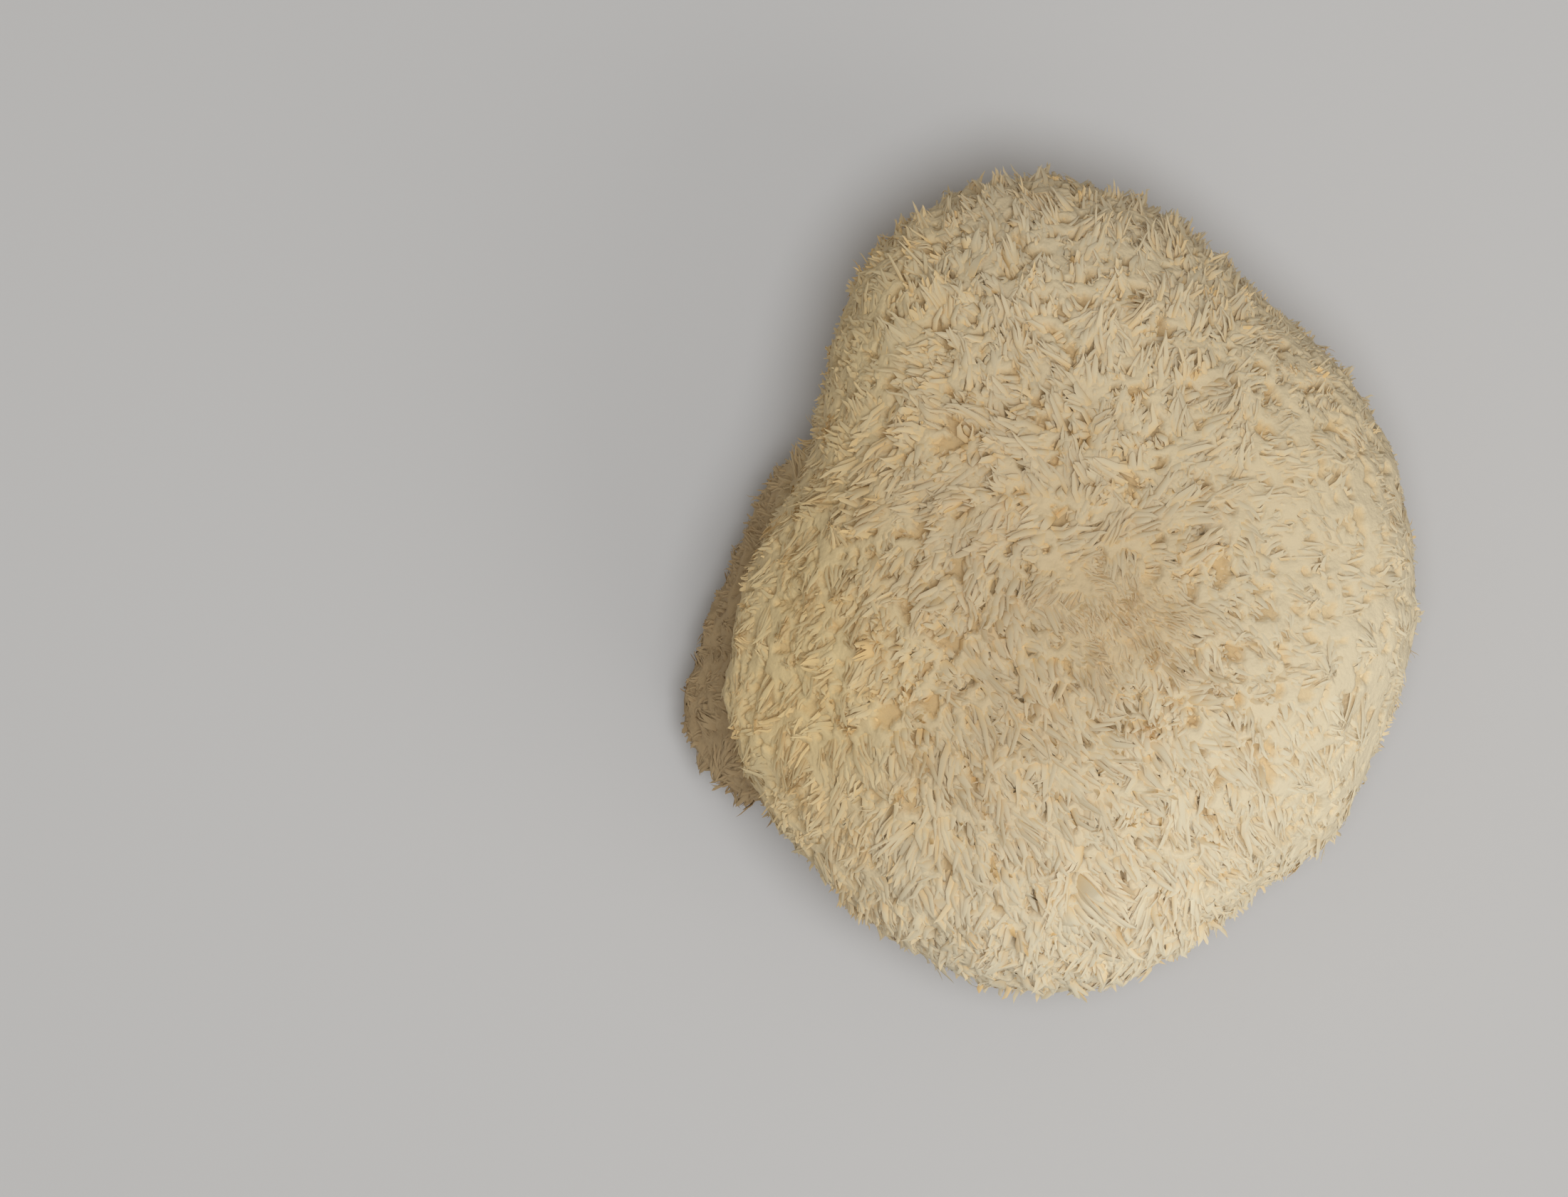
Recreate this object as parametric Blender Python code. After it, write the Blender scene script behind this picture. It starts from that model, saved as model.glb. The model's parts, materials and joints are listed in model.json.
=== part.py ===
"""Lion's mane mushroom, cut from its block and standing on the cut.

It grew as one piece: a lumpy head of flesh on a short foot, with teeth all over the head
that taper out of the flesh and hang away from the whorl on its top. The frame is in metres,
+Z up, with the origin in the middle of the cut face. Seen from above, +Y is the narrow end.
"""

import math
import random

import bmesh
import bpy
from mathutils import Vector

MM = 0.001
NODE = "fruiting_body"

# The head, seen from above: how far the tips of the teeth reach from the origin, in mm,
# every 30 degrees anticlockwise from +X.
OUTLINE = (45.4, 46.0, 46.2, 53.0, 49.6, 39.0, 41.4, 46.6, 50.0, 51.2, 46.6, 45.6)
SIDE_REACH = 7.0  # mm that the tips stand out past the flesh, seen from above

# The head, seen from the side.
GIRTH_HEIGHT = 26.0 * MM  # height of the widest level above the cut
CROWN_RISE = 22.5 * MM  # from the girth up to the flesh under the whorl
BELLY_DROP = 20.0 * MM  # from the girth down to the bare belly around the foot
FULLNESS = 2.3  # 2 is an ellipsoid, and more is squarer

# The foot, cut straight across.
FOOT_RADIUS = 16.5 * MM
FOOT_OVERRUN = 4.0 * MM  # flesh below the cut, which the cut takes off
FOOT_FLARE = 7.0 * MM  # how softly the foot runs into the belly
FOOT_OVAL = 0.09  # share by which it is longer one way than across
FOOT_CORNERS = 0.05  # share by which its three blunt corners stand out

# Swellings and hollows of the flesh: azimuth, elevation, spread along each in degrees, and
# height in mm.
LUMPS = (
    (201, -21, 18, 12, 17.2),  # skirt below the left side of the crown
    (163, -21, 14, 12, 8.8),  # its far end
    (192, -4, 34, 6, -2.0),  # crease between crown and skirt
    (197, 9, 27, 9, 3.6),  # rim of the crown above it
    (262, -24, 26, 26, 2.6),  # fringe below the front
    (106, 4, 18, 18, 1.8),  # shoulder at the narrow end
    (316, 2, 10, 10, 2.0),  # corner at the front right
    (8, 38, 16, 13, -2.0),  # hollow on the right of the crown
    (300, 42, 28, 22, 1.6),  # swelling in front of the whorl
    (150, 42, 32, 26, 1.4),  # swelling behind it
    (45, 20, 24, 24, 1.2),
)
RIPPLE = 0.7 * MM  # height of the small unevenness
RIPPLE_TURNS = (7.0, 5.0, 9.0)  # its waves across the head along X, Y and Z

# The teeth.
WHORL = Vector((4.5 * MM, -1.5 * MM, 50.0 * MM))  # they lie away from this point
WHORL_RADIUS = 20.0 * MM  # they are shorter within it
WHORL_SHARE = 0.5  # length of the teeth at the whorl itself, against the others
WHORL_STILL = 12.0 * MM  # nearer than this they stand straighter too
DROOP = Vector((0.0, -0.8, -0.6))  # and sag this way
TOOTH_LENGTH = 7.6 * MM
LENGTH_SPREAD = 0.22  # share by which teeth differ in length
CREASE = (190, 0, 45, 12)  # where they have less room: a patch in the way of LUMPS
CREASE_SHORTENS = 0.5  # share of their length that they lose in the middle of it
LEAN_AWAY = 0.6  # how far a tooth leans from the whorl, against 1 straight out
LEAN_DOWN = 0.4  # how far it sags
LEAN_SPREAD = 0.05  # how far neighbours differ in direction
BARE_TO = 24.0 * MM  # no teeth this near to the foot's middle, on the underside
FULL_FROM = 40.0 * MM  # teeth of full length from here out
LOWEST_TIP = 1.2 * MM  # tips end this high, so that the cut face alone is stood on
FLESH_POINTS = 1480  # corners of the flesh; each face between them bears a tooth
SEED = 11

CREAM = (0.80, 0.66, 0.42, 1.0)


def clear_scene():
    for obj in list(bpy.data.objects):
        bpy.data.objects.remove(obj)


def between_outline_points(azimuth):
    """The outline's radius at an azimuth in degrees, on a smooth closed curve through its points."""
    step = 360.0 / len(OUTLINE)
    place = (azimuth % 360.0) / step
    start = int(place)
    t = place - start
    a, b, c, d = (OUTLINE[(start + k) % len(OUTLINE)] for k in (-1, 0, 1, 2))
    return 0.5 * (2 * b + (c - a) * t + (2 * a - 5 * b + 4 * c - d) * t**2 + (3 * b - a - 3 * c + d) * t**3)


def soft_max(a, b, width):
    """The larger of two values, blended where they are within width of each other."""
    blend = max(width - abs(a - b), 0.0) / width
    return max(a, b) + blend * blend * width / 4


def angles_of(direction):
    """Azimuth and elevation in degrees."""
    flat = math.hypot(direction.x, direction.y)
    return math.degrees(math.atan2(direction.y, direction.x)), math.degrees(math.atan2(direction.z, flat))


def nearness(azimuth, elevation, middle, level, spread, upright_spread):
    """1 in the middle of a patch of the head, and less with the angle from it."""
    around = (azimuth - middle + 180) % 360 - 180
    sideways = around * math.cos(math.radians(elevation)) / spread
    upright = (elevation - level) / upright_spread
    return math.exp(-(sideways**2) - upright**2)


def lumps_towards(azimuth, elevation):
    """How far the swellings and hollows move the flesh in one direction."""
    return sum(height * MM * nearness(azimuth, elevation, *patch) for *patch, height in LUMPS)


def ripple_towards(direction):
    waves = [math.sin(turns * part + 1.7 * turns) for turns, part in zip(RIPPLE_TURNS, direction)]
    return RIPPLE * sum(waves) / len(waves)


def foot_radius(azimuth):
    """The foot is a rough oval, and no circle."""
    turn = math.radians(azimuth)
    return FOOT_RADIUS * (1 + FOOT_OVAL * math.cos(2 * turn - 0.7) + FOOT_CORNERS * math.cos(3 * turn + 1))


def flesh_point(direction):
    """Where the flesh ends in one direction from the middle of the girth."""
    flat = math.hypot(direction.x, direction.y)
    azimuth, elevation = angles_of(direction)
    side = (between_outline_points(azimuth) - SIDE_REACH) * MM
    upright = CROWN_RISE if direction.z > 0 else BELLY_DROP
    head = ((flat / side) ** FULLNESS + (abs(direction.z) / upright) ** FULLNESS) ** (-1 / FULLNESS)
    reach = head + lumps_towards(azimuth, elevation) + ripple_towards(direction)
    if direction.z < 0:
        wall = foot_radius(azimuth) / max(flat, 1e-6)
        end = (GIRTH_HEIGHT + FOOT_OVERRUN) / -direction.z
        reach = soft_max(reach, min(wall, end), FOOT_FLARE)
    return Vector((0, 0, GIRTH_HEIGHT)) + direction * reach


def even_directions(count):
    """Points spread evenly over a ball by the golden angle."""
    golden = math.pi * (3 - math.sqrt(5))
    for i in range(count):
        z = 1 - (2 * i + 1) / count
        flat = math.sqrt(1 - z * z)
        yield Vector((flat * math.cos(golden * i), flat * math.sin(golden * i), z))


def build_flesh():
    """The bare head and foot, as triangles of about one size, cut flat at the bottom."""
    bm = bmesh.new()
    for point in even_directions(FLESH_POINTS):
        bm.verts.new(point)
    bmesh.ops.convex_hull(bm, input=bm.verts)
    half_length = max(OUTLINE) * MM
    half_width = OUTLINE[0] * MM
    for vert in bm.verts:
        stretched = Vector((vert.co.x * half_width, vert.co.y * half_length, vert.co.z * CROWN_RISE))
        vert.co = flesh_point(stretched.normalized())
    everything = bm.verts[:] + bm.edges[:] + bm.faces[:]
    cut = bmesh.ops.bisect_plane(
        bm, geom=everything, dist=0.02 * MM, plane_co=(0, 0, 0), plane_no=(0, 0, 1), clear_inner=True
    )
    rim = [item for item in cut["geom_cut"] if isinstance(item, bmesh.types.BMEdge)]
    bmesh.ops.contextual_create(bm, geom=rim)
    bmesh.ops.recalc_face_normals(bm, faces=bm.faces[:])
    return bm


def tooth_length_at(point):
    """Shorter at the whorl, in the crease and under the belly, and none near the foot."""
    crowded = nearness(*angles_of(point - Vector((0, 0, GIRTH_HEIGHT))), *CREASE)
    length = TOOTH_LENGTH * (1 - CREASE_SHORTENS * crowded)
    if point.z > GIRTH_HEIGHT:
        from_whorl = min((point - WHORL).length / WHORL_RADIUS, 1.0)
        return length * (WHORL_SHARE + (1 - WHORL_SHARE) * from_whorl)
    out = (math.hypot(point.x, point.y) - BARE_TO) / (FULL_FROM - BARE_TO)
    return length * min(max(out, 0.0), 1.0)


def along_surface(vector, normal):
    return vector - normal * vector.dot(normal)


def tooth_tip(base, normal, chance):
    """Where the tooth on one face of the flesh ends."""
    away = along_surface(base - WHORL, normal)
    away /= max(away.length, WHORL_STILL)
    sag = along_surface(DROOP.normalized(), normal)
    lean = away * LEAN_AWAY + sag * LEAN_DOWN
    lean *= min(1.0, 1.0 + normal.z)  # on the underside they stand straighter
    stray = Vector([chance.uniform(-1, 1) * LEAN_SPREAD for _ in range(3)])
    way = (normal + lean + stray).normalized()
    length = tooth_length_at(base) * (1 + LENGTH_SPREAD * chance.uniform(-1, 1))
    if way.z < 0:
        length = min(length, (base.z - LOWEST_TIP) / -way.z)
    return base + way * length


def raise_teeth(bm):
    """Draws each face of the head out to a point, so that the teeth are one with the flesh."""
    chance = random.Random(SEED)
    shortest = TOOTH_LENGTH / 5
    toothed = [
        face
        for face in bm.faces
        if len(face.verts) == 3 and tooth_length_at(face.calc_center_median()) > shortest
    ]
    bm.normal_update()
    for tip in bmesh.ops.poke(bm, faces=toothed)["verts"]:
        corners = [edge.other_vert(tip) for edge in tip.link_edges]
        rounded_normal = sum((corner.normal for corner in corners), Vector()).normalized()
        tip.co = tooth_tip(tip.co, rounded_normal, chance)


def flesh_material():
    material = bpy.data.materials.new("mushroom_flesh")
    material.use_nodes = True
    shader = material.node_tree.nodes["Principled BSDF"]
    shader.inputs["Base Color"].default_value = CREAM
    shader.inputs["Roughness"].default_value = 0.75
    shader.inputs["Metallic"].default_value = 0.0
    return material


def build_fruiting_body(collection):
    bm = build_flesh()
    raise_teeth(bm)
    bmesh.ops.triangulate(bm, faces=bm.faces[:])
    mesh = bpy.data.meshes.new(NODE)
    bm.to_mesh(mesh)
    bm.free()
    mesh.materials.append(flesh_material())
    obj = bpy.data.objects.new(NODE, mesh)
    collection.objects.link(obj)
    return obj


def main():
    clear_scene()
    collection = bpy.data.collections.new("lions_mane_mushroom")
    bpy.context.scene.collection.children.link(collection)
    build_fruiting_body(collection)


main()
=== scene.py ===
"""The looks of the lion's mane mushroom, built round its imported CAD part.

The skin is one closed form with the head, the bare belly, the foot and its cut face. The mane
on it is joined mesh: thousands of flat hands with tapering fingers, and single teeth between
them, gathered into clumps that lie the way the real ones do. Metres, +Z up, seen from above
with +Y at the top of the picture.
"""

import json
import math
from types import SimpleNamespace

import bmesh
import bpy
import numpy as np
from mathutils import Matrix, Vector, noise

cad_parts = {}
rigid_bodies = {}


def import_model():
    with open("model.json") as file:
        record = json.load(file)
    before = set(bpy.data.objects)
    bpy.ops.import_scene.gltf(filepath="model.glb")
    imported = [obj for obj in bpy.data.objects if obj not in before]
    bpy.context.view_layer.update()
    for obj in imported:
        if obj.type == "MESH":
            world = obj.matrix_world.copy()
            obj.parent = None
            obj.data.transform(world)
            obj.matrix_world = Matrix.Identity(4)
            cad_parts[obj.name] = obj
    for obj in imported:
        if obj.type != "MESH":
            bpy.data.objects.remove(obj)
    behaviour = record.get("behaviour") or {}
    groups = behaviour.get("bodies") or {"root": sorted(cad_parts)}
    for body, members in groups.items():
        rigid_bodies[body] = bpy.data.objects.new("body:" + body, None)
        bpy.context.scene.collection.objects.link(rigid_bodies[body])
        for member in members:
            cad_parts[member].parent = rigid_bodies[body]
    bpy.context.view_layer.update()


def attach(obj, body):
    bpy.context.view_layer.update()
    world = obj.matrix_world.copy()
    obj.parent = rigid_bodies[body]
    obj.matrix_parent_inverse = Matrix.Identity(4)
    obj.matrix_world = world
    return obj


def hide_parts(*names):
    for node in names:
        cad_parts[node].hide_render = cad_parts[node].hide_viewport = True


MM = 0.001
BODY = "root"
NODE = "fruiting_body"
SEED = 11

# The head, seen from above: how far the tips of the teeth reach from the origin, in mm,
# every 30 degrees anticlockwise from +X.
OUTLINE = (45.4, 46.0, 46.2, 53.0, 49.6, 39.0, 41.4, 46.6, 50.0, 51.2, 46.6, 45.6)
SKIN_DEPTH = 1.2  # mm of mane outside the skin, seen from above

# The head, seen from the side.
GIRTH_HEIGHT = 26.0 * MM  # height of the widest level above the cut
CROWN_RISE = 27.9 * MM  # from the girth up to the skin at the whorl
BELLY_DROP = 20.0 * MM  # from the girth down to the bare belly around the foot
FULLNESS = 2.3  # 2 is an ellipsoid, and more is squarer

# The foot, cut straight across.
FOOT_RADIUS = 16.5 * MM
FOOT_OVERRUN = 4.0 * MM  # flesh below the cut, which the cut takes off
FOOT_FLARE = 7.0 * MM  # how softly the foot runs into the belly
FOOT_OVAL = 0.09  # share by which it is longer one way than across
FOOT_CORNERS = 0.05  # share by which its three blunt corners stand out
CUT_ROUNDING = 0.8 * MM  # of the edge of the cut face
CUT_RIM = 0.6 * MM  # height over which the colour of the cut fades up the foot
FLOOR_GAP = 0.05 * MM  # between the cut and the floor, so that neither shows through the other

# Swellings and hollows: azimuth, elevation, spread along each in degrees, and height in mm.
LUMPS = (
    (201, -21, 18, 12, 17.2),  # skirt below the left side of the crown
    (163, -21, 14, 12, 8.8),  # its far end
    (192, -4, 34, 6, -2.0),  # crease between crown and skirt
    (181, -20, 9, 10, 4.0),  # flesh that joins the two ends of the skirt
    (197, 9, 27, 9, 3.6),  # rim of the crown above it
    (262, -24, 26, 26, 2.6),  # fringe below the front
    (106, 4, 18, 18, 1.8),  # shoulder at the narrow end
    (316, 2, 10, 10, 2.0),  # corner at the front right
    (8, 38, 16, 13, -2.0),  # hollow on the right of the crown
    (300, 42, 28, 22, 1.6),  # swelling in front of the whorl
    (150, 42, 32, 26, 1.4),  # swelling behind it
    (45, 20, 24, 24, 1.2),
)
RIPPLE = 0.7 * MM  # height of the small unevenness
RIPPLE_TURNS = (7.0, 5.0, 9.0)  # its waves across the head along X, Y and Z

# The triangles of the skin.
SKIN_SUBDIVISIONS = 7
FINE_ABOVE = 0.24  # heights on a ball of radius 1 past which they are half as large
FINE_BELOW = -0.85

# The flesh between the teeth: low hummocks, pits where the teeth part, and fine grain.
HUMMOCK_SIZE = 5.5 * MM
HUMMOCK_HEIGHT = 0.8 * MM
PIT_SIZE = 1.7 * MM
PIT_DEPTH = 2.0 * MM
PIT_LEVEL = 0.03  # noise above this is a pit
PIT_FADE = 0.22  # further noise up to a pit's full depth
GRAIN_OF_SKIN = ((0.16, 0.9 * MM), (0.22, 2.0 * MM))  # height in mm, and size

# Folds down the foot and out over the belly.
FOLDS = ((0.6, 0.0, 3.2 * MM), (0.4, 3 * MM, 1.3 * MM))  # share, shift and size
FOLD_HEIGHT = 1.6  # mm
BELLY_SHRINK = 0.3  # mm that the bare belly lies back
FOLDS_START = (0.3 * MM, 2.0 * MM)  # heights between which they fade in above the cut

# How the teeth lie.
WHORL = np.array((4.2, -1.5, 50.0)) * MM  # they lie away from here
WHORL_STILL = 12 * MM  # nearer than this they stand straighter
PARTING = np.array((-15.6, -9.5, 49.0)) * MM  # near here they lie away from it too
PARTING_REACH = 9 * MM
PARTING_STILL = 3 * MM
DROOP = (0.0, -1.0, -0.5)  # and they sag this way
PLUMB = (0.0, 0.0, -1.2)  # below the girth they hang this way instead
SWEEP = (1.0, 0.0, 0.0)
SWEEP_STRENGTH = 1.2

# Spots of the crown, seen from above: middle and half width along X and Y, in mm.
SWEPT_SPOT = (-5, -18, 17, 20)  # the teeth are combed along SWEEP
OPENED_SPOT = (-14, -11, 11, 15)  # they part over more pits
TAN_SPOTS = (
    (0.4, (1, -3, 14, 10)),  # how tan, and where
    (0.6, (-11, -16, 13, 13)),
    (0.5, (11, 7, 3.5, 3)),
)
# A painted shadow across the crown, tinted like the tan spots above:
PAINTED_SHADOW_SPOT = (0.75, (-12, 12, 18, 16))  # it reaches down the side as well
LOWEST_TAN = 36  # mm above the cut, where the others end

# The length of the teeth in mm, and their lift off the skin in degrees.
TOOTH_LENGTH = 3.9
WHORL_LENGTH = 1.9
BELLY_LENGTH = 0.6
SHORTEST_TOOTH = 0.5
TOOTH_LIFT = 12
LEAST_LIFT = 8
MOST_LIFT = 85
LOWEST_TIP = 1.7 * MM  # tips end about this high, so that the cut face alone is stood on

# The shapes that are repeated. Z runs along the length from 0 to 1, Y across the width, and X
# is the side that faces out of the mushroom.
TOOTH_NARROW = 0.19  # width of a tooth, against its length
HAND_NARROW = 0.6
SHARP = math.radians(75)  # edges that turn more than this are not shaded over
TOOTH_RINGS = ((0.0, 1.0), (0.45, 1.0), (0.84, 0.72))  # height, and share of the width
HAND_ROOT = 0.65  # share of a hand's width at its root
FINGER_RINGS = ((0.4, 0.82), (0.8, 0.6))  # share of a finger's height, and of its width

# Single teeth: thickness, bow, hook and sway, against the length.
TEETH = (
    (0.06, 0.06, 0.05, 0.8),
    (0.05, 0.07, 0.03, -0.8),
    (0.06, 0.04, 0.08, 0.3),
    (0.055, 0.06, 0.0, -1.2),
    (0.05, 0.05, 0.04, 1.3),
)

# Hands: thickness, bow, hook, fan, height of the palm, cup, and heights of the finger tips.
HANDS = (
    (0.06, 0.06, 0.05, 0.25, 0.52, 0.08, (0.86, 1.0, 0.88)),
    (0.055, 0.07, 0.08, 0.45, 0.45, 0.10, (0.8, 1.0, 0.9)),
    (0.055, 0.05, 0.08, 0.15, 0.58, 0.06, (0.84, 0.93, 1.0, 0.88)),
    (0.06, 0.08, 0.04, 0.50, 0.40, 0.04, (0.84, 1.0)),
    (0.05, 0.05, 0.0, 0.30, 0.50, 0.08, (0.9, 1.0, 0.78, 0.94)),
)

# The pieces of the mane: two on the crown, and the rest round the side from these azimuths.
PATCHES = ("crown", "summit", "right", "shoulder", "back", "left", "skirt", "front", "corner")
PATCH_EDGES = (40, 85, 135, 190, 235, 280, 325)
FIRST_SIDE_PATCH = 2
CROWN_MIDDLE = 2  # mm along X
CROWN_RADIUS = 26  # mm

MANE_SIZES = {
    "Clump Spacing": 3.1 * MM,
    "Hand Spacing": 2.7 * MM,
    "Tooth Spacing": 0.58 * MM,
    "Strand Spacing": 2.4 * MM,
    "Hair Spacing": 0.5 * MM,
    "Hand Width": 2.3 * MM,
    "Tooth Width": 0.74 * MM,
    "Strand Width": 0.5 * MM,
    "Hair Width": 0.5 * MM,
    "Curl": 0.3,
    "Sink": 0.08,
}

# Noise that turns the clumps and bends the teeth: how fine and how strong each layer is.
STRAY = ((110.0, 0.6), (300.0, 0.5))
BENDING = ((350.0, 1.0), (900.0, 0.7))
BENDING_RISE = 2 * MM  # how far the noise is followed from a root to its tip

# How far the clumps and their teeth differ: the least and the most.
CLUMP_TURNS = (-0.5, 0.5)  # radians
CLUMP_LIFTS = (-0.15, 0.25)  # radians
CLUMP_REACHES = (0.75, 1.25)  # against the length of the teeth
CLUMP_DRAWS = (-1.0, 0.0)  # 0 leaves the tips as far apart as the roots, and -1 joins them
CLUMP_TINT = 0.6  # share of a tooth's tint that its clump sets
TOOTH_ROLLS = (-0.5, 0.5)  # radians
TOOTH_WIDTHS = (0.6, 1.5)  # against the full width
LEAST_OUT = 0.12  # share of its length by which a tip stands off the skin
STUB = 0.3 * MM  # length of the teeth that have no room above the floor
LEAST_SHARE = 0.3  # of a part of the head, below which what grows on that part alone ends

# Colours of the flesh.
IVORY = (0.71, 0.60, 0.40, 1)
YELLOW = (0.77, 0.60, 0.31, 1)
# Painted light: the flesh towards the front right is paler, on the side where the light falls.
PAINTED_LIGHT_PALE = (0.90, 0.81, 0.60, 1)
# This tan colours the whorl and the tan spots, and also paints shade on the rim and the shadow
# across the crown.
TAN_AND_SHADE = (0.62, 0.49, 0.30, 1)
# Painted shade on the skirt below the crown and in the crease between them.
SKIRT_SHADE_BROWN = (0.48, 0.34, 0.18, 1)
# Painted warm shade at the roots and on the sides of the teeth, and in the pits.
PAINTED_SHADE_OCHRE = (0.84, 0.54, 0.20, 1)
# The same painted shade, deeper between the teeth on the skirt and in the crease.
SKIRT_GAP_SHADE = (0.36, 0.23, 0.11, 1)
# Painted shade at the bottoms of the pits.
PIT_SHADE_BROWN = (0.53, 0.38, 0.19, 1)
BARE_DULL = (0.68, 0.56, 0.35, 1)
BARE_CREAM = (0.80, 0.70, 0.50, 1)
FURROW_BROWN = (0.55, 0.39, 0.21, 1)
CUT_CREAM = (0.84, 0.78, 0.64, 1)
FLESH_SPECULAR = 0.12

FLOOR_GREY = (0.60, 0.60, 0.61, 1)
FLOOR_HALF = 2.0

# The lights: name, place, diameter, power in watts and colour.
LIGHTS = (
    ("key_light", (0.06, -0.10, 1.05), 0.45, 7.4, (0.97, 0.99, 1.0)),
    ("fill_light", (0.6, -0.5, 0.5), 0.8, 2.4, (1.0, 0.96, 0.9)),
)
LIGHT_AIM = (0, 0, 0.03)
SKY_COLOUR = (1.0, 0.90, 0.76, 1)
SKY_STRENGTH = 0.29
VIEW_GAMMA = 1.15
VIEW_EXPOSURE = -0.49

CAMERA_PLACE = (-0.03665, -0.00092, 0.900)
CAMERA_LENS = 155.8  # mm
CAMERA_SENSOR = 36.0  # mm across


def outline_at(azimuth):
    """The outline's radius at azimuths in degrees, on a smooth closed curve through its points."""
    count = len(OUTLINE)
    place = (azimuth % 360.0) / (360.0 / count)
    start = np.floor(place).astype(int)
    t = place - start
    points = np.array(OUTLINE)
    a, b, c, d = (points[(start + k) % count] for k in (-1, 0, 1, 2))
    bend = 2 * a - 5 * b + 4 * c - d
    turn = 3 * b - a - 3 * c + d
    return 0.5 * (2 * b + (c - a) * t + bend * t**2 + turn * t**3)


def soft_max(a, b, width):
    """The larger of two values, blended where they are within width of each other."""
    blend = np.maximum(width - np.abs(a - b), 0.0) / width
    return np.maximum(a, b) + blend * blend * width / 4


def soft_step(low, high, value):
    """0 up to low, 1 from high on, and a smooth rise between them."""
    t = np.clip((value - low) / (high - low), 0.0, 1.0)
    return t * t * (3 - 2 * t)


def nearness(azimuth, elevation, middle, level, spread, upright_spread):
    """1 in the middle of a patch of the head, and less with the angle from it."""
    around = (azimuth - middle + 180) % 360 - 180
    sideways = around * np.cos(np.radians(elevation)) / spread
    upright = (elevation - level) / upright_spread
    return np.exp(-(sideways**2) - upright**2)


def spot(x, y, middle_x, middle_y, half_x, half_y):
    """1 in the middle of a spot seen from above, and less with the distance from it."""
    return np.exp(-(((x - middle_x) / half_x) ** 2) - ((y - middle_y) / half_y) ** 2)


def angles_of(directions):
    """Azimuth and elevation in degrees."""
    flat = np.hypot(directions[:, 0], directions[:, 1])
    azimuth = np.degrees(np.arctan2(directions[:, 1], directions[:, 0]))
    elevation = np.degrees(np.arctan2(directions[:, 2], flat))
    return azimuth, elevation


def foot_radius(azimuth):
    """The foot is a rough oval, and no circle."""
    turn = np.radians(azimuth)
    oval = FOOT_OVAL * np.cos(2 * turn - 0.7)
    corners = FOOT_CORNERS * np.cos(3 * turn + 1)
    return FOOT_RADIUS * (1 + oval + corners)


def skin_form(directions):
    """Where the skin is in each direction from the middle of the girth."""
    flat = np.maximum(np.hypot(directions[:, 0], directions[:, 1]), 1e-6)
    rise = directions[:, 2]
    azimuth, elevation = angles_of(directions)
    side = (outline_at(azimuth) - SKIN_DEPTH) * MM
    upright = np.where(rise > 0, CROWN_RISE, BELLY_DROP)
    reach = ((flat / side) ** FULLNESS + (np.abs(rise) / upright) ** FULLNESS) ** (-1 / FULLNESS)
    for *patch, height in LUMPS:
        reach += height * MM * nearness(azimuth, elevation, *patch)
    for turns, part in zip(RIPPLE_TURNS, directions.T):
        reach += RIPPLE / len(RIPPLE_TURNS) * np.sin(turns * part + 1.7 * turns)
    drop = np.maximum(-rise, 1e-6)
    end = (GIRTH_HEIGHT + FOOT_OVERRUN) / drop
    footed = soft_max(reach, np.minimum(foot_radius(azimuth) / flat, end), FOOT_FLARE)
    reach = np.where(rise < 0, footed, reach)
    cut = np.where(rise < 0, GIRTH_HEIGHT / drop, 1.0)
    reach = -soft_max(-reach, -cut, CUT_ROUNDING)
    points = directions * reach[:, None]
    points[:, 2] = np.maximum(points[:, 2] + GIRTH_HEIGHT, 0.0)
    return points


def skin_ball():
    """Directions over a ball as a closed mesh of triangles, finer on the crown and foot."""
    bm = bmesh.new()
    bmesh.ops.create_icosphere(bm, subdivisions=SKIN_SUBDIVISIONS, radius=1.0)
    finer = []
    for edge in bm.edges:
        low, high = sorted(vert.co.z for vert in edge.verts)
        if low > FINE_ABOVE or high < FINE_BELOW:
            finer.append(edge)
    bmesh.ops.subdivide_edges(bm, edges=finer, cuts=1)
    bmesh.ops.triangulate(bm, faces=bm.faces[:])
    mesh = bpy.data.meshes.new("skin")
    bm.to_mesh(mesh)
    bm.free()
    return mesh


def place_points(mesh, points):
    """Moves a mesh's points, and lifts those that are below the cut up to it."""
    points[:, 2] = np.maximum(points[:, 2], 0.0)
    mesh.vertices.foreach_set("co", points.ravel())
    mesh.update()


def noise_at(points, size):
    return np.array([noise.noise(place) for place in map(Vector, points / size)])


def coordinates(mesh):
    values = np.empty(len(mesh.vertices) * 3)
    mesh.vertices.foreach_get("co", values)
    return values.reshape(-1, 3)


def vertex_normals(mesh):
    values = np.empty(len(mesh.vertices) * 3)
    mesh.vertex_normals.foreach_get("vector", values)
    return values.reshape(-1, 3)


def keep_numbers(mesh, name, values):
    attribute = mesh.attributes.new(name, "FLOAT", "POINT")
    attribute.data.foreach_set("value", values.astype(np.float32))


def keep_vectors(mesh, name, values):
    attribute = mesh.attributes.new(name, "FLOAT_VECTOR", "POINT")
    attribute.data.foreach_set("vector", values.astype(np.float32).ravel())


def keep_counts(mesh, name, values):
    attribute = mesh.attributes.new(name, "INT", "POINT")
    attribute.data.foreach_set("value", values.astype(np.int32))


def add_piece(name, mesh):
    piece = bpy.data.objects.new(name, mesh)
    bpy.context.scene.collection.objects.link(piece)
    return piece


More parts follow.
